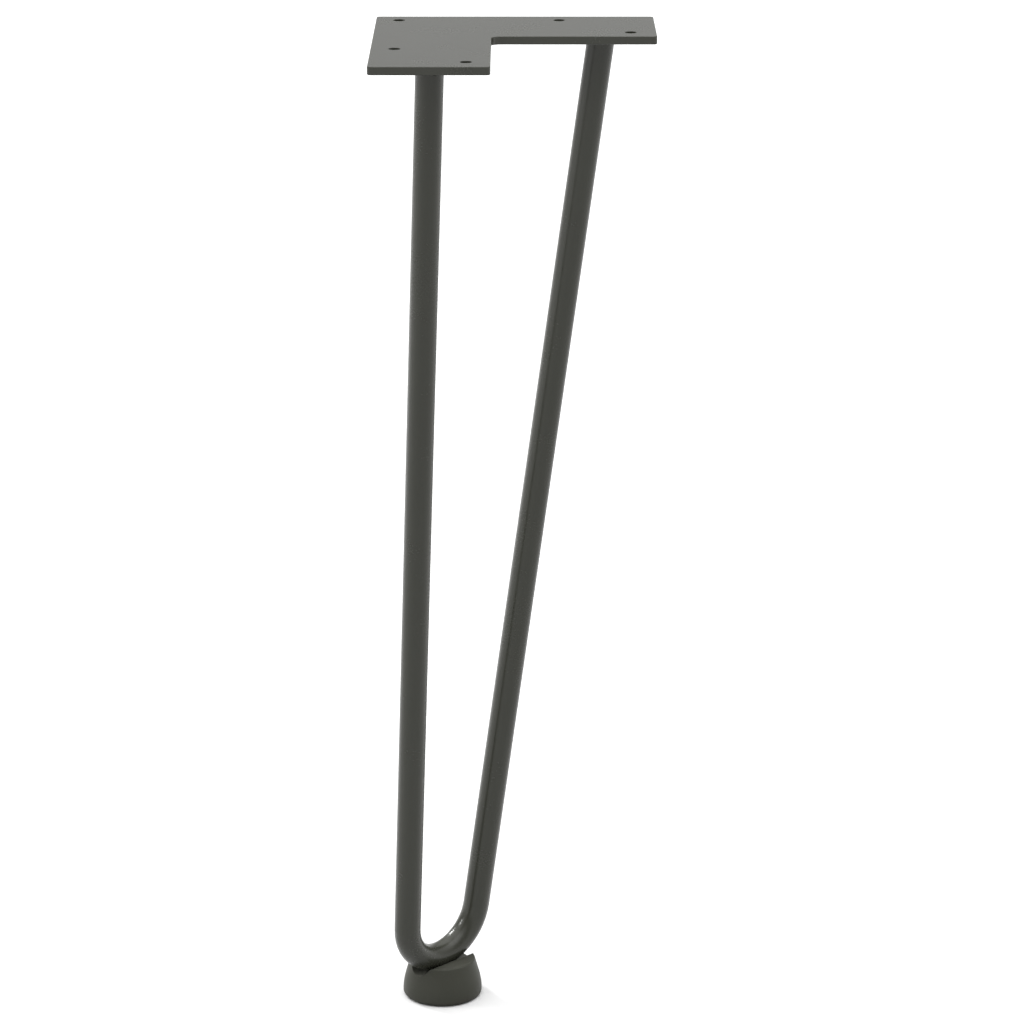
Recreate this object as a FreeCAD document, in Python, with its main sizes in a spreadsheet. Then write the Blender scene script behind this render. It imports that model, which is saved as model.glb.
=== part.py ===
# Hairpin table leg: a flat L-shaped plate, one round bar bent like a hairpin, two weld beads and a foot.
# Sizes are in millimetres. The origin lies on the plate's top face, where the centre lines of its arms
# cross, and the lowest point of the bend is straight below it. +Z is up, one arm runs along +X and the
# other along -Y.
import FreeCAD, Part
import math
import os
import Sketcher

# Driving sizes: name, value, what it measures
SIZES = (
    ("leg_height", 450.0, "top face of the plate to the floor"),
    ("plate_arm_length", 120.0, "outer corner to the end of either arm"),
    ("plate_arm_width", 50.0, "width of either arm"),
    ("plate_thickness", 3.5, "sheet thickness"),
    ("plate_corner_radius", 1.6, "outer corners, seen from above"),
    ("plate_inner_radius", 4.0, "inside corner of the L, seen from above"),
    ("plate_edge_round", 0.4, "rounding of the plate's upper edges"),
    ("plate_edge_bevel", 0.3, "bevel that takes the burr off the plate's lower edges"),
    ("screw_hole_diameter", 5.0, "plain hole for a wood screw"),
    ("screw_side_distance", 10.0, "hole centre to the long edge beside it"),
    ("screw_middle_distance", 79.0, "middle hole to the other arm's outer edge"),
    ("screw_end_distance", 11.0, "end hole to the end of its arm"),
    ("bar_diameter", 12.0, "solid round bar"),
    ("bar_end_distance", 23.0, "bar axis to the end of its arm, at the plate's underside"),
    ("bend_radius", 22.0, "centre line of the bend"),
    ("weld_leg", 3.5, "weld bead's height down the bar and width along the plate"),
    ("foot_offset", 2.3, "foot axis to the lowest point of the bend, along the groove"),
    ("foot_height", 17.5, "floor to the foot's flat top"),
    ("foot_diameter", 36.2, "widest part of the foot, just above the floor"),
    ("foot_top_diameter", 30.0, "flat top with its bevelled rim"),
    ("foot_rim_bevel", 0.5, "bevel round the flat top"),
    ("foot_side_rise", 4.0, "widest part up to where an upright there would meet the line of the taper"),
    ("foot_base_round", 2.1, "rounding of the foot's lower edge"),
    ("saddle_depth", 4.4, "groove that the bend lies in, below the foot's top"),
    ("saddle_clearance", 0.15, "groove radius over the bar radius"),
    ("saddle_lip_round", 3.0, "rounding of the groove's long edges"),
    ("saddle_gap", 0.1, "glue film between the bend and the bottom of the groove"),
)

# Places worked out from the driving sizes, as expressions

# From the crossing of the centre lines to the end of an arm, and to the bar's axis on that arm
ARM_REACH = "(sizes.plate_arm_length - sizes.plate_arm_width / 2)"
BAR_REACH = f"({ARM_REACH} - sizes.bar_end_distance)"

# The bar's ends lie on a line across the diagonal, as far from its middle as that middle is from the origin
HALF_SPREAD = f"({BAR_REACH} / sqrt(2))"

# Height of the lowest point of the bend's centre line, and the bar's rise from there to the plate
BEND_HEIGHT = "(sizes.foot_height - sizes.saddle_depth + sizes.saddle_gap + sizes.bar_diameter / 2)"
BAR_RISE = f"(sizes.leg_height - sizes.plate_thickness - {BEND_HEIGHT})"

# The hairpin's plane leans by this angle, and the rise measured in that plane is a little longer
LEAN = f"atan2({HALF_SPREAD}; {BAR_RISE})"
SLANT_RISE = f"hypot({HALF_SPREAD}; {BAR_RISE})"

# In its plane, each straight stretch touches the bend and spreads outwards by this angle
RISE_OVER_CENTRE = f"({SLANT_RISE} - sizes.bend_radius)"
SPREAD = (f"(atan2({HALF_SPREAD}; {RISE_OVER_CENTRE})"
          f" - asin(sizes.bend_radius / hypot({HALF_SPREAD}; {RISE_OVER_CENTRE})))")

# The foot's taper from upright, and the radius of the curve that leads into it from the widest part
TAPER_RUN = "((sizes.foot_diameter - sizes.foot_top_diameter) / 2)"
TAPER_RISE = "(sizes.foot_height - sizes.foot_rim_bevel - sizes.foot_base_round - sizes.foot_side_rise)"
TAPER = f"atan2({TAPER_RUN}; {TAPER_RISE})"
SIDE_RADIUS = f"(sizes.foot_side_rise / tan({TAPER} / 2))"

# The groove's half-round and the height of its centre over the floor
SADDLE_RADIUS = "(sizes.bar_diameter / 2 + sizes.saddle_clearance)"
SADDLE_CENTRE = f"(sizes.foot_height - sizes.saddle_depth + {SADDLE_RADIUS})"

# Turn of the diagonal from the X axis
DIAGONAL = "atan(1)"

# Sketcher's numbers for the two ends of a line or an arc and for a centre
START, END, CENTRE = range(1, 4)

# Sketcher's numbers for a sketch's own axes, and its origin, where the level axis starts
UPRIGHT_AXIS, LEVEL_AXIS = range(-2, 0)
ORIGIN = (LEVEL_AXIS, START)

TOLERANCE = 1e-4


def make_sizes(doc):
    sheet = doc.addObject("Spreadsheet::Sheet", "sizes")
    for row, (alias, value, meaning) in enumerate(SIZES, start=1):
        sheet.set(f"A{row}", meaning)
        sheet.set(f"B{row}", str(value))
        sheet.setAlias(f"B{row}", alias)
    doc.recompute()
    return sheet


def new_body(doc, name, placement=None):
    body = doc.addObject("PartDesign::Body", name)
    body.Label = name
    if placement:
        body.setExpression("Placement", placement)
    return body


def number(thing, expression):
    """Value of an expression, in millimetres or degrees."""
    result = thing.evalExpression(expression)
    return float(getattr(result, "Value", result))


def new_sketch(body, name, plane, offset=None):
    """Sketch on one of the body's own origin planes, raised or tilted by an expression."""
    sketch = body.newObject("Sketcher::SketchObject", name)
    support = next(feature for feature in body.Origin.OriginFeatures if feature.Role == plane)
    sketch.AttachmentSupport = [(support, "")]
    sketch.MapMode = "FlatFace"
    if offset:
        sketch.setExpression("AttachmentOffset", offset)
    return sketch


def drive(sketch, name, expression, kind, *where):
    """Add a named dimension that follows the expression."""
    value = number(sketch, expression)
    index = sketch.addConstraint(Sketcher.Constraint(kind, *where, value))
    sketch.renameConstraint(index, name)
    sketch.setExpression(f"Constraints.{name}", expression)


def locate(sketch, name, point, across, up):
    """Place a point of the sketch from its origin."""
    drive(sketch, f"{name}_across", across, "DistanceX", *ORIGIN, *point)
    drive(sketch, f"{name}_up", up, "DistanceY", *ORIGIN, *point)


def add_arc(sketch, start, through, end):
    return sketch.addGeometry(Part.Arc(start, through, end), False)


def draw_chain(sketch, corners, closed=True):
    """Straight lines from corner to corner, joined at their ends; level and upright ones are held so."""
    ends = corners[1:] + corners[:1] if closed else corners[1:]
    lines = []
    for here, there in zip(corners, ends):
        side = Part.LineSegment(FreeCAD.Vector(*here, 0), FreeCAD.Vector(*there, 0))
        line = sketch.addGeometry(side, False)
        if abs(here[1] - there[1]) < TOLERANCE:
            sketch.addConstraint(Sketcher.Constraint("Horizontal", line))
        elif abs(here[0] - there[0]) < TOLERANCE:
            sketch.addConstraint(Sketcher.Constraint("Vertical", line))
        lines.append(line)
    for line, following in zip(lines, lines[1:] + lines[:1] if closed else lines[1:]):
        sketch.addConstraint(Sketcher.Constraint("Coincident", line, END, following, START))
    return lines


def dress(body, kind, name, base, chosen, size):
    """Fillet or chamfer the edges of the base feature for which the test holds."""
    feature = body.newObject(f"PartDesign::{kind}", name)
    edges = [f"Edge{i}" for i, edge in enumerate(base.Shape.Edges, start=1) if chosen(edge)]
    feature.Base = (base, edges)
    feature.setExpression("Radius" if kind == "Fillet" else "Size", size)
    body.Document.recompute()
    return feature


def trim_at_plate(body, name, offset):
    """Cut away what stands above the plate's underside, where the offset puts that plane."""
    sketch = new_sketch(body, name, "XY_Plane", offset)
    reach = number(sketch, "sizes.plate_arm_length")
    left, bottom, right, top = -reach, -reach, reach, reach
    lines = draw_chain(sketch, [(left, bottom), (right, bottom), (right, top), (left, top)])
    locate(sketch, "low_corner", (lines[0], START), "-sizes.plate_arm_length", "-sizes.plate_arm_length")
    locate(sketch, "high_corner", (lines[2], START), "sizes.plate_arm_length", "sizes.plate_arm_length")
    before = body.Tip.Shape.Volume
    trim = body.newObject("PartDesign::Pocket", f"{name}_cut")
    trim.Profile = sketch
    trim.Type = "ThroughAll"
    trim.Reversed = True
    body.Document.recompute()
    if not trim.Shape.Volume < before:
        raise RuntimeError(f"{trim.Name} cut nothing")


def make_plate(doc):
    """Laser-cut L with rounded corners, softened edges and five screw holes."""
    body = new_body(doc, "mounting_plate")
    outline = new_sketch(body, "plate_outline", "XY_Plane")
    half = number(outline, "sizes.plate_arm_width / 2")
    reach = number(outline, ARM_REACH)
    corners = [(-half, half), (reach, half), (reach, -half), (half, -half), (half, -reach), (-half, -reach)]
    back, right_end, _, _, front_end, left = draw_chain(outline, corners)
    half_width = "sizes.plate_arm_width / 2"
    locate(outline, "outer_corner", (back, START), f"-{half_width}", half_width)
    drive(outline, "back_length", "sizes.plate_arm_length", "DistanceX", back, START, back, END)
    drive(outline, "left_length", "sizes.plate_arm_length", "DistanceY", left, START, left, END)
    drive(outline, "right_width", "sizes.plate_arm_width", "DistanceY", right_end, END, right_end, START)
    drive(outline, "front_width", "sizes.plate_arm_width", "DistanceX", front_end, END, front_end, START)

    sheet_metal = body.newObject("PartDesign::Pad", "plate_sheet")
    sheet_metal.Profile = outline
    sheet_metal.setExpression("Length", "sizes.plate_thickness")
    sheet_metal.Reversed = True
    doc.recompute()

    def upright(edge):
        return abs(edge.tangentAt(edge.FirstParameter).z) > 1 - TOLERANCE

    def at_inner_corner(edge):
        place = edge.CenterOfMass
        return place.x > half - TOLERANCE and abs(place.x + place.y) < TOLERANCE

    def around(level):
        return lambda edge: max(abs(edge.CenterOfMass.z - level), edge.BoundBox.ZLength) < TOLERANCE

    outer = dress(body, "Fillet", "outer_corners", sheet_metal,
                  lambda edge: upright(edge) and not at_inner_corner(edge), "sizes.plate_corner_radius")
    inner = dress(body, "Fillet", "inner_corner", outer,
                  lambda edge: upright(edge) and at_inner_corner(edge), "sizes.plate_inner_radius")
    rounded = dress(body, "Fillet", "upper_edges", inner, around(0), "sizes.plate_edge_round")
    softened = dress(body, "Chamfer", "lower_edges", rounded,
                     around(-number(outline, "sizes.plate_thickness")), "sizes.plate_edge_bevel")

    holes = new_sketch(body, "hole_centres", "XY_Plane")
    near = "(sizes.plate_arm_width / 2 - sizes.screw_side_distance)"
    middle = "(sizes.screw_middle_distance - sizes.plate_arm_width / 2)"
    far = f"({ARM_REACH} - sizes.screw_end_distance)"
    centres = {"corner": (f"-{near}", near),
               "right_middle": (middle, near), "right_end": (far, f"-{near}"),
               "front_middle": (f"-{near}", f"-{middle}"), "front_end": (near, f"-{far}")}
    for name, (across, up) in centres.items():
        place = FreeCAD.Vector(number(holes, across), number(holes, up), 0)
        radius = number(holes, "sizes.screw_hole_diameter / 2")
        circle = holes.addGeometry(Part.Circle(place, FreeCAD.Vector(0, 0, 1), radius), False)
        locate(holes, name, (circle, CENTRE), across, up)
        drive(holes, f"{name}_diameter", "sizes.screw_hole_diameter", "Diameter", circle)
    doc.recompute()

    drilled = body.newObject("PartDesign::Hole", "screw_holes")
    drilled.Profile = holes
    doc.recompute()
    drilled.ThreadType = "None"
    drilled.HoleCutType = "None"
    drilled.DepthType = "ThroughAll"
    drilled.setExpression("Diameter", "sizes.screw_hole_diameter")
    doc.recompute()
    if not drilled.Shape.Volume < softened.Shape.Volume:
        raise RuntimeError("the screw holes cut nothing")
    return body


def make_bar(doc):
    """Round bar with two straight stretches and a bend, drawn in its own plane and leaned into place."""
    turn = f"rotation({DIAGONAL}; 0; {LEAN})"
    body = new_body(doc, "hairpin_bar", f"placement(vector(0; 0; {BEND_HEIGHT} - sizes.leg_height); {turn})")
    route = new_sketch(body, "bar_centre_line", "XZ_Plane")
    bend_radius = number(route, "sizes.bend_radius")
    half_spread = number(route, HALF_SPREAD)
    rise = number(route, SLANT_RISE)
    overshoot = number(route, "sizes.bar_diameter")
    touch_across = number(route, f"sizes.bend_radius * cos({SPREAD})")
    touch_up = number(route, f"sizes.bend_radius * (1 - sin({SPREAD}))")
    slope = (half_spread - touch_across) / (rise - touch_up)
    end_across = half_spread + overshoot * slope
    end_up = rise + overshoot

    right = route.addGeometry(Part.LineSegment(FreeCAD.Vector(end_across, end_up, 0),
                                               FreeCAD.Vector(touch_across, touch_up, 0)), False)
    bend = route.addGeometry(Part.Arc(FreeCAD.Vector(touch_across, touch_up, 0), FreeCAD.Vector(0, 0, 0),
                                      FreeCAD.Vector(-touch_across, touch_up, 0)), False)
    left = route.addGeometry(Part.LineSegment(FreeCAD.Vector(-touch_across, touch_up, 0),
                                              FreeCAD.Vector(-end_across, end_up, 0)), False)
    # FreeCAD keeps an arc anticlockwise, so its start is the point on the left
    route.addConstraint(Sketcher.Constraint("Tangent", right, END, bend, END))
    route.addConstraint(Sketcher.Constraint("Tangent", left, START, bend, START))
    route.addConstraint(Sketcher.Constraint("PointOnObject", bend, CENTRE, UPRIGHT_AXIS))
    route.addConstraint(Sketcher.Constraint("PointOnObject", *ORIGIN, bend))
    route.addConstraint(Sketcher.Constraint("Symmetric", right, START, left, END, UPRIGHT_AXIS))
    drive(route, "bend_radius", "sizes.bend_radius", "Radius", bend)
    drive(route, "bar_top", f"{SLANT_RISE} + sizes.bar_diameter", "DistanceY", *ORIGIN, right, START)
    # The point where the bar's axis meets the plate's underside
    at_plate = route.addGeometry(Part.Point(FreeCAD.Vector(half_spread, rise, 0)), True)
    route.addConstraint(Sketcher.Constraint("PointOnObject", at_plate, START, right))
    locate(route, "at_plate", (at_plate, START), HALF_SPREAD, SLANT_RISE)
    doc.recompute()

    section = body.newObject("Sketcher::SketchObject", "bar_section")
    section.AttachmentSupport = [(route, f"Edge{right + 1}")]
    section.MapMode = "NormalToEdge"
    circle = section.addGeometry(Part.Circle(FreeCAD.Vector(0, 0, 0), FreeCAD.Vector(0, 0, 1),
                                             number(section, "sizes.bar_diameter / 2")), False)
    section.addConstraint(Sketcher.Constraint("Coincident", circle, CENTRE, *ORIGIN))
    drive(section, "bar_diameter", "sizes.bar_diameter", "Diameter", circle)

    bent = body.newObject("PartDesign::AdditivePipe", "bent_bar")
    bent.Profile = section
    bent.Spine = (route, [])
    doc.recompute()
    trim_at_plate(body, "bar_top_plane", f"placement(vector(0; 0; {SLANT_RISE}); rotation(0; 0; -{LEAN}))")
    return body


def make_weld(doc, name, side):
    """Bead round one end of the bar: a ring on the bar's axis, cut flat where the plate is."""
    bar_end = f"vector({side} * {HALF_SPREAD}; 0; {SLANT_RISE})"
    along_bar = f"placement({bar_end}; rotation(0; {side} * {SPREAD}; 0))"
    body = new_body(doc, name, f"hairpin_bar.Placement * {along_bar}")
    section = new_sketch(body, f"{name}_section", "XZ_Plane")
    bar = number(section, "sizes.bar_diameter / 2")
    leg = number(section, "sizes.weld_leg")
    # The sloping face runs from the toe on the bar to the toe on the plate, and the ring goes on above it
    outside, lid, bore, _ = draw_chain(section, [(bar + leg, 0), (bar + leg, leg), (bar, leg), (bar, -leg)])
    locate(section, "toe_on_bar", (bore, END), "sizes.bar_diameter / 2", "-sizes.weld_leg")
    locate(section, "toe_on_plate", (outside, START), "sizes.bar_diameter / 2 + sizes.weld_leg", "0")
    drive(section, "ring_top", "sizes.weld_leg", "DistanceY", *ORIGIN, lid, START)

    ring = body.newObject("PartDesign::Revolution", f"{name}_ring")
    ring.Profile = section
    ring.ReferenceAxis = (section, ["V_Axis"])
    ring.Angle = 360
    doc.recompute()
    level = f"rotation(0; -{side} * {SPREAD}; -{LEAN})"
    trim_at_plate(body, f"{name}_top_plane", f"placement(vector(0; 0; 0); {level})")
    return body


def make_foot(doc):
    """Moulded foot that tapers upwards, with a round-bottomed groove along the hairpin's plane."""
    across = "sizes.foot_offset / sqrt(2)"
    body = new_body(doc, "foot",
                    f"placement(vector({across}; {across}; -sizes.leg_height); rotation({DIAGONAL}; 0; 0))")
    turned = turn_foot(body)
    groove = draw_saddle(body)
    saddle = body.newObject("PartDesign::Pocket", "saddle")
    saddle.Profile = groove
    saddle.Midplane = True
    saddle.setExpression("Length", "2 * sizes.foot_diameter")
    doc.recompute()
    if not saddle.Shape.Volume < turned.Shape.Volume:
        raise RuntimeError("the saddle cut nothing")
    return body


def turn_foot(body):
    """Turned block: rounded lower edge, curve from the widest part, straight taper, bevel, flat top."""
    profile = new_sketch(body, "foot_profile", "XZ_Plane")
    widest = number(profile, "sizes.foot_diameter / 2")
    top = number(profile, "sizes.foot_top_diameter / 2")
    height = number(profile, "sizes.foot_height")
    low = number(profile, "sizes.foot_base_round")
    bevel = number(profile, "sizes.foot_rim_bevel")
    curve = number(profile, SIDE_RADIUS)
    taper = math.radians(number(profile, TAPER))

    curve_centre = FreeCAD.Vector(widest - curve, low, 0)
    touch = curve_centre + FreeCAD.Vector(math.cos(taper), math.sin(taper), 0) * curve
    half_way = curve_centre + FreeCAD.Vector(math.cos(taper / 2), math.sin(taper / 2), 0) * curve
    rim = FreeCAD.Vector(top, height - bevel, 0)
    corner = low * (1 - 0.5 ** 0.5)

    corners = [(top, height - bevel), (top - bevel, height), (0, height), (0, 0), (widest - low, 0)]
    rim_bevel, flat_top, axis, underside = draw_chain(profile, corners, closed=False)
    lower_edge = add_arc(profile, FreeCAD.Vector(widest - low, 0, 0),
                         FreeCAD.Vector(widest - corner, corner, 0), FreeCAD.Vector(widest, low, 0))
    side = add_arc(profile, FreeCAD.Vector(widest, low, 0), half_way, touch)
    straight = profile.addGeometry(Part.LineSegment(touch, rim), False)
    for before, after in ((underside, lower_edge), (lower_edge, side), (side, straight)):
        profile.addConstraint(Sketcher.Constraint("Tangent", before, END, after, START))
    profile.addConstraint(Sketcher.Constraint("Coincident", straight, END, rim_bevel, START))
    profile.addConstraint(Sketcher.Constraint("Horizontal", side, CENTRE, side, START))
    profile.addConstraint(Sketcher.Constraint("Coincident", axis, END, *ORIGIN))
    drive(profile, "widest", "sizes.foot_diameter / 2", "DistanceX", *ORIGIN, side, START)
    flat_reach = "sizes.foot_top_diameter / 2 - sizes.foot_rim_bevel"
    rim_height = "sizes.foot_height - sizes.foot_rim_bevel"
    locate(profile, "flat_top", (flat_top, START), flat_reach, "sizes.foot_height")
    locate(profile, "rim", (rim_bevel, START), "sizes.foot_top_diameter / 2", rim_height)
    drive(profile, "side_radius", SIDE_RADIUS, "Radius", side)
    drive(profile, "base_round", "sizes.foot_base_round", "Radius", lower_edge)

    turned = body.newObject("PartDesign::Revolution", "foot_block")
    turned.Profile = profile
    turned.ReferenceAxis = (profile, ["V_Axis"])
    turned.Angle = 360
    body.Document.recompute()
    return turned


def draw_saddle(body):
    """Section of the groove: a half-round under the bar whose edges roll over into the flat top."""
    groove = new_sketch(body, "saddle_section", "YZ_Plane")
    radius = number(groove, SADDLE_RADIUS)
    centre = number(groove, SADDLE_CENTRE)
    height = number(groove, "sizes.foot_height")
    lip = number(groove, "sizes.saddle_lip_round")
    open_top = height + number(groove, "sizes.bar_diameter")
    lip_up = height - lip
    lip_out = ((radius + lip) ** 2 - (centre - lip_up) ** 2) ** 0.5
    share = radius / (radius + lip)
    touch_out = lip_out * share
    touch_up = centre + (lip_up - centre) * share

    walls = [(lip_out, height), (lip_out, open_top), (-lip_out, open_top), (-lip_out, height)]
    right_wall, lid, left_wall = draw_chain(groove, walls, closed=False)
    lips = []
    for side in (-1, 1):
        roll = FreeCAD.Vector(touch_out - lip_out, touch_up - lip_up, 0).normalize()
        halfway = (roll + FreeCAD.Vector(0, 1, 0)).normalize() * lip
        ends = [FreeCAD.Vector(side * lip_out, height, 0), FreeCAD.Vector(side * touch_out, touch_up, 0)]
        ends = ends[::side]
        crest = FreeCAD.Vector(side * (lip_out + halfway.x), lip_up + halfway.y, 0)
        lips.append(add_arc(groove, ends[0], crest, ends[1]))
    left_lip, right_lip = lips
    hollow = add_arc(groove, FreeCAD.Vector(-touch_out, touch_up, 0), FreeCAD.Vector(0, centre - radius, 0),
                     FreeCAD.Vector(touch_out, touch_up, 0))
    groove.addConstraint(Sketcher.Constraint("Coincident", left_lip, END, left_wall, END))
    groove.addConstraint(Sketcher.Constraint("Coincident", right_lip, START, right_wall, START))
    groove.addConstraint(Sketcher.Constraint("Tangent", hollow, START, left_lip, START))
    groove.addConstraint(Sketcher.Constraint("Tangent", hollow, END, right_lip, END))
    groove.addConstraint(Sketcher.Constraint("PointOnObject", hollow, CENTRE, UPRIGHT_AXIS))
    groove.addConstraint(Sketcher.Constraint("Vertical", left_lip, CENTRE, left_lip, END))
    groove.addConstraint(Sketcher.Constraint("Vertical", right_lip, CENTRE, right_lip, START))
    drive(groove, "saddle_radius", SADDLE_RADIUS, "Radius", hollow)
    drive(groove, "saddle_centre", SADDLE_CENTRE, "DistanceY", *ORIGIN, hollow, CENTRE)
    drive(groove, "open_top", "sizes.foot_height + sizes.bar_diameter", "DistanceY", *ORIGIN, lid, START)
    lip_height = "sizes.foot_height - sizes.saddle_lip_round"
    for name, arc in (("left_lip", left_lip), ("right_lip", right_lip)):
        drive(groove, name, "sizes.saddle_lip_round", "Radius", arc)
        drive(groove, f"{name}_centre", lip_height, "DistanceY", *ORIGIN, arc, CENTRE)
    return groove


def check(doc, bodies):
    failed = [thing.Name for thing in doc.Objects if "Invalid" in thing.State or "Error" in thing.State]
    failed += [body.Label for body in bodies if body.Shape.isNull() or not body.Shape.isValid()]
    if failed:
        raise RuntimeError("these failed: " + ", ".join(failed))


def main():
    doc = FreeCAD.newDocument("hairpin_table_leg")
    make_sizes(doc)
    bodies = [make_plate(doc), make_bar(doc)]
    bodies += [make_weld(doc, "weld_bead_right", 1), make_weld(doc, "weld_bead_front", -1)]
    bodies.append(make_foot(doc))
    doc.recompute()
    check(doc, bodies)
    os.makedirs("parts", exist_ok=True)
    for body in bodies:
        body.Shape.exportStep(f"parts/{body.Label}.step")
        box = body.Shape.BoundBox
        print(f"{body.Label}: {len(body.Shape.Solids)} solid, {body.Shape.Volume:.1f} mm3, "
              f"x {box.XMin:.2f} to {box.XMax:.2f}, y {box.YMin:.2f} to {box.YMax:.2f}, "
              f"z {box.ZMin:.2f} to {box.ZMax:.2f}")


main()
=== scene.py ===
# Hairpin table leg: painted steel plate, bar and weld beads, moulded foot, and the studio they stand in.
# Metres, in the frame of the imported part: the plate's top face is at z = 0 and the floor lies under the foot.
import math

import bmesh
import bpy
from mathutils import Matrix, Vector


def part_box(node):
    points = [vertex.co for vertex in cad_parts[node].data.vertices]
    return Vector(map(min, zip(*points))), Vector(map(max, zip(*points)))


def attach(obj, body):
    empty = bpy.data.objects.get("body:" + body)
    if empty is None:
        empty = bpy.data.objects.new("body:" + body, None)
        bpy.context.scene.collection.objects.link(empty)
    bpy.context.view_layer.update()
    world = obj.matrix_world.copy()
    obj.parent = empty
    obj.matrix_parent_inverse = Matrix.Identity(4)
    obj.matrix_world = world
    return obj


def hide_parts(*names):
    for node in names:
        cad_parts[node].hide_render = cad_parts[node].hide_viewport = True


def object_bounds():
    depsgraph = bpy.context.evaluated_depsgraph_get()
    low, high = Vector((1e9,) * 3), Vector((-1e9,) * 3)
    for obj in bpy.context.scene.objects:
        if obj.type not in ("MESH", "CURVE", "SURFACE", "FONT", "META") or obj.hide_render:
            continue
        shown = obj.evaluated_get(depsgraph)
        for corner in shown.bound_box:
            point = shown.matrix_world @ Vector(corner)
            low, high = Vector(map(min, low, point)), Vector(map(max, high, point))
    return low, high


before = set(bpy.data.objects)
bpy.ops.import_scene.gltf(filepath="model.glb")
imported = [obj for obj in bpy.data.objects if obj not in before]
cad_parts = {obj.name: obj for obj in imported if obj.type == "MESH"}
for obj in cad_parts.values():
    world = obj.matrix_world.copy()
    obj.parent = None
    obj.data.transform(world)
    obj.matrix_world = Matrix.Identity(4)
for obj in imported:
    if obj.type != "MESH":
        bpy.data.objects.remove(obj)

CAD_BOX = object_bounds()
MM = 0.001

# Hairpin. BAR_REACH runs from the crossing of the arms' centre lines to the bar's axis on either arm.
# BEND_LOW is the height of the lowest point of the bend's centre line.
BAR_RADIUS = 6 * MM
BAR_REACH = 72 * MM
BEND_RADIUS = 22 * MM
BEND_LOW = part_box("hairpin_bar")[0][2] + BAR_RADIUS
PLATE_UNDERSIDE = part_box("mounting_plate")[0][2]

# Weld bead: a crowned fillet round the bar. Its root lies hidden in bar and plate.
WELD_LEG = 3.4 * MM
WELD_CROWN = 0.45 * MM
WELD_ROOT = 0.25 * MM

# Ripples across the bead: count, height, and how far each one's middle runs ahead of its ends, in radians
WELD_RIPPLES = 38
WELD_RIPPLE = 0.13 * MM
WELD_BOW = 2.2

# The bead's width wanders by slow waves: times round the bar, phase and share of each
WELD_WANDER = 0.25 * MM
WELD_WAVES = ((3, 0.6, 0.625), (7, 2.1, 0.375))

# Steps round the bead and rows across it
WELD_STEPS = 304
WELD_ROWS = 14

# Finishes: colour, roughness, specular level, drift of the tone, rounding of the edges, relief of the skin
PAINT = {
    "colour": (0.031, 0.0322, 0.0236),
    "roughness": 0.27,
    "specular": 0.35,
    "drift": 0.07,
    "edge_round": 0.35 * MM,
    "skin": {"Dimple Size": 1.4 * MM, "Dimple Depth": 0.004 * MM,
             "Grain Size": 0.22 * MM, "Grain Depth": 0.0012 * MM},
}
PLASTIC = {
    "colour": (0.049, 0.050, 0.0405),
    "roughness": 0.45,
    "specular": 0.12,
    "drift": 0.05,
    "edge_round": 0.4 * MM,
    "skin": {"Dimple Size": 0.7 * MM, "Dimple Depth": 0.003 * MM,
             "Grain Size": 0.14 * MM, "Grain Depth": 0.0016 * MM},
}
EDGE_SAMPLES = 6

# Patches of the drifting tone: size of the broad ones, and size and share of the fine ones among them.
# A patch makes the tone lighter or darker by up to the finish's drift, as a share of the tone, and adds
# GLOSS_SWING times that share to the roughness.
PATCH_SIZE = 25 * MM
FINE_PATCH_SIZE = 0.9 * MM
FINE_PATCH_SHARE = 0.35
GLOSS_SWING = 0.25

# Camera, fitted to the plate's corners and holes, both stretches of the bar, the bend and the foot.
# It looks down by the pitch, in degrees. Its focal length is in pixels of a picture IMAGE_PIXELS wide.
CAMERA_PLACE = (33.70 * MM, -1608.59 * MM, 280.36 * MM)
CAMERA_PITCH = 17.19
CAMERA_CLIP = (0.05, 40)
FOCAL_PIXELS = 3790.23
IMAGE_PIXELS = 1024
SENSOR_WIDTH = 36

# Floor: its tone as it is seen, the darker tone by which it lights the leg, a faint mottle (size and depth),
# and a glow that grows from the first strength to the second between two distances from the leg
FLOOR_SIZE = 14.0
FLOOR_COLOUR = 0.68
FLOOR_BOUNCE = 0.26
FLOOR_ROUGHNESS = 0.9
FLOOR_MOTTLE = (0.4, 0.01)
FLOOR_GLOW = (0.0, 0.6)
FLOOR_GLOW_REACH = (0.5, 3.0)

# Room: strength of the light from its front, its back and overhead. The pairs are parts of a direction whose
# length is 1: the Y between which front turns into back, the Z over which the light overhead comes in, and
# the Z over which the white backdrop fades out.
ROOM_FRONT = 0.40
ROOM_BACK = 0.50
ROOM_TURN = (-1.0, 0.2)
ROOM_TOP = 1.8
ROOM_TOP_RISE = (0.35, 1.0)
BACKDROP_FADE = (0.12, 0.26)

# Lamps: name, place, width, power in watts, and whether the plate is left out, because from some sides its
# flat top would mirror so small a lamp as a white blot
LAMPS = (
    ("lamp_back_left", (-1.0, 1.1, 0.64), 0.32, 17.5, True),
    ("lamp_front_left", (-1.7, -0.9, 0.1), 2.0, 5.5, False),
    ("lamp_left", (-1.6, 0.0, 0.5), 0.27, 7.8, True),
    ("lamp_right", (1.7, 0.3, 0.3), 1.8, 4.5, False),
    ("lamp_high_right", (0.7, -0.7, 2.2), 2.6, 22, False),
)


# Node trees

def link(tree, source, target):
    tree.links.new(source, target)


def math_node(tree, operation, first, second=None, third=None):
    """Math node fed by sockets or plain numbers; gives its output."""
    node = tree.nodes.new("ShaderNodeMath")
    node.operation = operation
    for socket, value in zip(node.inputs, (first, second, third)):
        if value is None:
            continue
        if isinstance(value, (int, float)):
            socket.default_value = value
        else:
            link(tree, value, socket)
    return node.outputs[0]


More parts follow.
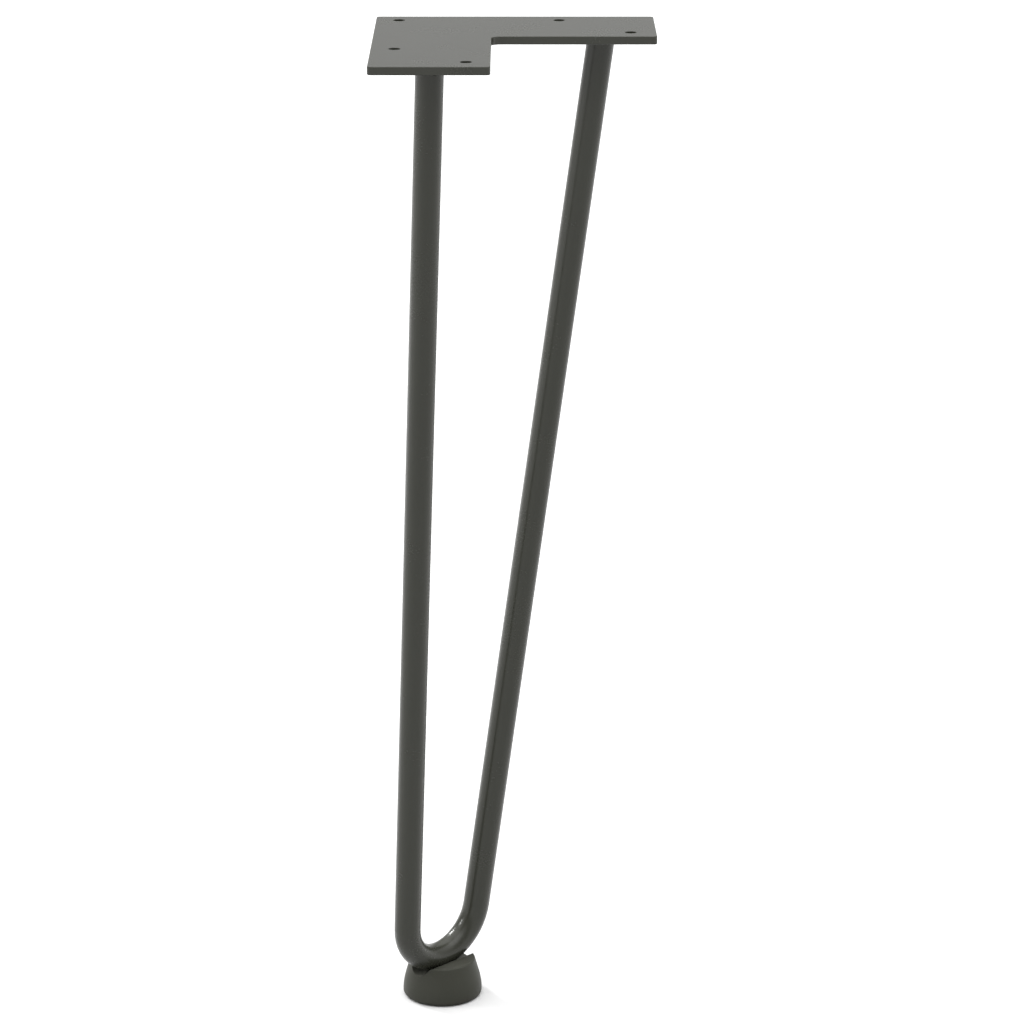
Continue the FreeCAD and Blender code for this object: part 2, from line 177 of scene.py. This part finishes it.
def noise(tree, place, size, detail=2.0):
    """Noise between 0 and 1 with lumps of about the given size, a socket or a number in metres."""
    node = tree.nodes.new("ShaderNodeTexNoise")
    node.inputs["Detail"].default_value = detail
    link(tree, place, node.inputs["Vector"])
    link(tree, math_node(tree, "DIVIDE", 1.0, size), node.inputs["Scale"])
    return node.outputs["Fac"]


def span(tree, value, low, high, start, stop):
    """Map a value from between low and high to between start and stop, easing in and out."""
    node = tree.nodes.new("ShaderNodeMapRange")
    node.interpolation_type = "SMOOTHSTEP"
    link(tree, value, node.inputs["Value"])
    for socket, number in zip(("From Min", "From Max", "To Min", "To Max"), (low, high, start, stop)):
        node.inputs[socket].default_value = number
    return node.outputs["Result"]


def seen_rays(tree):
    """1 for rays that show a thing straight, mirrored or through glass, 0 for those that gather soft light."""
    rays = tree.nodes.new("ShaderNodeLightPath").outputs
    mirrored = math_node(tree, "MAXIMUM", rays["Is Glossy Ray"], rays["Is Transmission Ray"])
    return math_node(tree, "MAXIMUM", rays["Is Camera Ray"], mirrored)


def new_group(name, inputs, outputs):
    """Empty shader group with the named sockets; gives the group, its input node and its output node."""
    group = bpy.data.node_groups.new(name, "ShaderNodeTree")
    for in_out, sockets in (("INPUT", inputs), ("OUTPUT", outputs)):
        for socket_name, kind, value in sockets:
            socket = group.interface.new_socket(name=socket_name, in_out=in_out, socket_type=kind)
            if value is not None:
                socket.default_value = value
    return group, group.nodes.new("NodeGroupInput"), group.nodes.new("NodeGroupOutput")


# Finishes

def skin_group():
    """Relief of a coated or moulded skin: soft dimples and a finer grain, as a height in metres."""
    group, given, result = new_group(
        "skin_relief",
        [(name, "NodeSocketFloat", value) for name, value in PAINT["skin"].items()],
        [("Height", "NodeSocketFloat", None)])
    place = group.nodes.new("ShaderNodeTexCoord").outputs["Object"]
    dimples = noise(group, place, given.outputs["Dimple Size"])
    grain = noise(group, place, given.outputs["Grain Size"])
    dimples = math_node(group, "MULTIPLY", dimples, given.outputs["Dimple Depth"])
    height = math_node(group, "MULTIPLY_ADD", grain, given.outputs["Grain Depth"], dimples)
    link(group, height, result.inputs["Height"])
    return group


def tone_group():
    """Slight drift of tone over the surface, and the change of gloss that goes with it."""
    group, given, result = new_group(
        "tone_drift",
        [("Color", "NodeSocketColor", (*PAINT["colour"], 1)),
         ("Roughness", "NodeSocketFloat", PAINT["roughness"]),
         ("Drift", "NodeSocketFloat", PAINT["drift"]),
         ("Patch Size", "NodeSocketFloat", PATCH_SIZE)],
        [("Color", "NodeSocketColor", None),
         ("Roughness", "NodeSocketFloat", None)])
    place = group.nodes.new("ShaderNodeTexCoord").outputs["Object"]
    broad = noise(group, place, given.outputs["Patch Size"], detail=3.0)
    fine = noise(group, place, FINE_PATCH_SIZE, detail=1.0)
    broad = math_node(group, "MULTIPLY", broad, 1 - FINE_PATCH_SHARE)
    patches = math_node(group, "MULTIPLY_ADD", fine, FINE_PATCH_SHARE, broad)
    both_ways = math_node(group, "MULTIPLY_ADD", patches, 2.0, -1.0)
    swing = math_node(group, "MULTIPLY", both_ways, given.outputs["Drift"])
    factor = math_node(group, "ADD", swing, 1.0)
    scale = group.nodes.new("ShaderNodeVectorMath")
    scale.operation = "SCALE"
    link(group, given.outputs["Color"], scale.inputs[0])
    link(group, factor, scale.inputs["Scale"])
    link(group, scale.outputs[0], result.inputs["Color"])
    rough = math_node(group, "MULTIPLY_ADD", swing, GLOSS_SWING, given.outputs["Roughness"])
    link(group, rough, result.inputs["Roughness"])
    return group


def finish(name, look, skin, tone):
    """Material with drifting tone, skin relief and softened edges; skin and tone are the two groups."""
    material = bpy.data.materials.new(name)
    material.use_nodes = True
    material.diffuse_color = (*look["colour"], 1)
    tree = material.node_tree
    shader = tree.nodes["Principled BSDF"]
    shader.inputs["Specular IOR Level"].default_value = look["specular"]

    drift = tree.nodes.new("ShaderNodeGroup")
    drift.node_tree = tone
    drift.inputs["Color"].default_value = (*look["colour"], 1)
    drift.inputs["Roughness"].default_value = look["roughness"]
    drift.inputs["Drift"].default_value = look["drift"]
    link(tree, drift.outputs["Color"], shader.inputs["Base Color"])
    link(tree, drift.outputs["Roughness"], shader.inputs["Roughness"])

    relief = tree.nodes.new("ShaderNodeGroup")
    relief.node_tree = skin
    for socket, value in look["skin"].items():
        relief.inputs[socket].default_value = value
    edge = tree.nodes.new("ShaderNodeBevel")
    edge.samples = EDGE_SAMPLES
    edge.inputs["Radius"].default_value = look["edge_round"]
    bump = tree.nodes.new("ShaderNodeBump")
    bump.inputs["Distance"].default_value = 1.0
    link(tree, relief.outputs["Height"], bump.inputs["Height"])
    link(tree, edge.outputs["Normal"], bump.inputs["Normal"])
    link(tree, bump.outputs["Normal"], shader.inputs["Normal"])
    return material


def make_finishes():
    skin = skin_group()
    tone = tone_group()
    paint = finish("satin_powder_coat", PAINT, skin, tone)
    plastic = finish("moulded_foot_plastic", PLASTIC, skin, tone)
    return paint, plastic


def dress(node_name, material):
    """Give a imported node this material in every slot."""
    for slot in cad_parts[node_name].material_slots:
        slot.material = material


# Weld beads

def bar_end(side):
    """Where the bar's axis meets the plate's underside, and the axis; side is 1 on the right arm, else -1."""
    half_spread = BAR_REACH / math.sqrt(2)
    rise = PLATE_UNDERSIDE - BEND_LOW
    lean = math.atan2(half_spread, rise)
    over_centre = math.hypot(half_spread, rise) - BEND_RADIUS
    from_centre = math.hypot(half_spread, over_centre)
    spread = math.atan2(half_spread, over_centre) - math.asin(BEND_RADIUS / from_centre)
    across = Vector((1, 1, 0)).normalized()
    outward = Vector((1, -1, 0)).normalized()
    up = outward * math.sin(lean) + Vector((0, 0, 1)) * math.cos(lean)
    axis = up * math.cos(spread) + across * side * math.sin(spread)
    centre = outward * half_spread + across * side * half_spread
    return Vector((centre.x, centre.y, PLATE_UNDERSIDE)), axis.normalized()


def weld_section(centre, axis, first, second, turn):
    """Points across the bead at one angle: root, toe on the bar, crowned face, toe on the plate, root."""
    out = first * math.cos(turn) + second * math.sin(turn)
    flat = Vector((out.x, out.y, 0)).normalized()
    wander = WELD_WANDER * sum(share * math.sin(times * turn + phase) for times, phase, share in WELD_WAVES)
    meet = centre + out * BAR_RADIUS - axis * (out.z * BAR_RADIUS / axis.z)
    toe_bar = meet - axis * (WELD_LEG + wander)
    toe_plate = meet + flat * (WELD_LEG + wander)
    face_out = (flat - axis).normalized()
    points = [toe_bar - out * WELD_ROOT]
    for row in range(WELD_ROWS + 1):
        share = row / WELD_ROWS
        swell = math.sin(math.pi * share)
        wave = math.cos(WELD_RIPPLES * turn + WELD_BOW * swell)
        height = WELD_CROWN * swell + WELD_RIPPLE * wave * swell ** 0.5
        points.append(toe_bar.lerp(toe_plate, share) + face_out * height)
    points.append(toe_plate + Vector((0, 0, WELD_ROOT)))
    points.append(meet - out * WELD_ROOT + Vector((0, 0, WELD_ROOT)))
    return points


def make_weld(node_name, side, material):
    """Rippled bead all round one end of the bar, under the plate."""
    centre, axis = bar_end(side)
    first = axis.orthogonal().normalized()
    second = axis.cross(first)
    mesh = bmesh.new()
    rings = []
    for step in range(WELD_STEPS):
        turn = 2 * math.pi * step / WELD_STEPS
        rings.append([mesh.verts.new(point) for point in weld_section(centre, axis, first, second, turn)])
    for ring, following in zip(rings, rings[1:] + rings[:1]):
        for here in range(len(ring)):
            there = (here + 1) % len(ring)
            mesh.faces.new((ring[here], following[here], following[there], ring[there])).smooth = True
    bmesh.ops.recalc_face_normals(mesh, faces=mesh.faces)
    data = bpy.data.meshes.new(node_name + "_rippled")
    mesh.to_mesh(data)
    mesh.free()
    data.materials.append(material)
    bead = bpy.data.objects.new(node_name + "_rippled", data)
    bpy.context.collection.objects.link(bead)
    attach(bead, "root")
    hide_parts(node_name)


# Studio

def make_camera():
    data = bpy.data.cameras.new("camera")
    data.sensor_width = SENSOR_WIDTH
    data.lens = SENSOR_WIDTH * FOCAL_PIXELS / IMAGE_PIXELS
    data.clip_start, data.clip_end = CAMERA_CLIP
    camera = bpy.data.objects.new("camera", data)
    camera.location = CAMERA_PLACE
    camera.rotation_euler = (math.radians(90 - CAMERA_PITCH), 0, 0)
    bpy.context.collection.objects.link(camera)
    bpy.context.scene.camera = camera


def floor_finish():
    """Pale tone that keeps the leg's soft shadow, throws little light back and glows to white further out."""
    material = bpy.data.materials.new("pale_floor")
    material.use_nodes = True
    tree = material.node_tree
    shader = tree.nodes["Principled BSDF"]
    shader.inputs["Roughness"].default_value = FLOOR_ROUGHNESS
    shader.inputs["Specular IOR Level"].default_value = 0.0
    shader.inputs["Emission Color"].default_value = (1, 1, 1, 1)
    place = tree.nodes.new("ShaderNodeTexCoord").outputs["Object"]
    lump_size, lump_depth = FLOOR_MOTTLE
    mottle = math_node(tree, "MULTIPLY_ADD", noise(tree, place, lump_size), lump_depth, FLOOR_COLOUR)
    seen = seen_rays(tree)
    shade = tree.nodes.new("ShaderNodeMix")
    shade.inputs["A"].default_value = FLOOR_BOUNCE
    link(tree, mottle, shade.inputs["B"])
    link(tree, seen, shade.inputs["Factor"])
    link(tree, shade.outputs["Result"], shader.inputs["Base Color"])
    away = tree.nodes.new("ShaderNodeVectorMath")
    away.operation = "LENGTH"
    link(tree, place, away.inputs[0])
    glow = span(tree, away.outputs["Value"], *FLOOR_GLOW_REACH, *FLOOR_GLOW)
    link(tree, math_node(tree, "MULTIPLY", seen, glow), shader.inputs["Emission Strength"])
    return material


def make_floor():
    half = FLOOR_SIZE / 2
    low = CAD_BOX[0][2]
    data = bpy.data.meshes.new("floor")
    data.from_pydata([(-half, -half, low), (half, -half, low), (half, half, low), (-half, half, low)],
                     [], [(0, 1, 2, 3)])
    floor = bpy.data.objects.new("floor", data)
    bpy.context.collection.objects.link(floor)
    data.materials.append(floor_finish())


def make_room():
    """White room, dimmer in front and brightest overhead, whose low backdrop is seen as plain white."""
    world = bpy.data.worlds.new("room")
    bpy.context.scene.world = world
    world.use_nodes = True
    tree = world.node_tree
    background = tree.nodes["Background"]
    background.inputs["Color"].default_value = (1, 1, 1, 1)
    direction = tree.nodes.new("ShaderNodeTexCoord").outputs["Generated"]
    parts = tree.nodes.new("ShaderNodeSeparateXYZ")
    link(tree, direction, parts.inputs[0])
    walls = span(tree, parts.outputs["Y"], *ROOM_TURN, ROOM_FRONT, ROOM_BACK)
    ceiling = span(tree, parts.outputs["Z"], *ROOM_TOP_RISE, 0.0, ROOM_TOP)
    light = math_node(tree, "ADD", walls, ceiling)
    backdrop = span(tree, parts.outputs["Z"], *BACKDROP_FADE, 1.0, 0.0)
    white = math_node(tree, "MULTIPLY", seen_rays(tree), backdrop)
    link(tree, math_node(tree, "MAXIMUM", white, light), background.inputs["Strength"])


def make_lamp(name, place, width, power):
    """Square soft lamp aimed at the middle of the leg."""
    data = bpy.data.lights.new(name, "AREA")
    data.shape = "SQUARE"
    data.size = width
    data.energy = power
    lamp = bpy.data.objects.new(name, data)
    lamp.location = place
    aim = Vector((0, 0, CAD_BOX[0][2] / 2)) - Vector(place)
    lamp.rotation_euler = aim.to_track_quat("-Z", "Y").to_euler()
    bpy.context.collection.objects.link(lamp)
    return lamp


def spare_plate(lamp):
    """Keep a lamp's light off the plate alone."""
    spared = bpy.data.collections.new(lamp.name + "_spares")
    spared.objects.link(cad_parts["mounting_plate"])
    spared.collection_objects[0].light_linking.link_state = "EXCLUDE"
    lamp.light_linking.receiver_collection = spared


def make_studio():
    make_camera()
    make_floor()
    make_room()
    for name, place, width, power, leaves_out_plate in LAMPS:
        lamp = make_lamp(name, place, width, power)
        if leaves_out_plate:
            spare_plate(lamp)
    bpy.context.scene.view_settings.view_transform = "Standard"


make_studio()
paint, plastic = make_finishes()
for name in ("mounting_plate", "hairpin_bar", "weld_bead_right", "weld_bead_front"):
    dress(name, paint)
dress("foot", plastic)
make_weld("weld_bead_right", 1, paint)
make_weld("weld_bead_front", -1, paint)
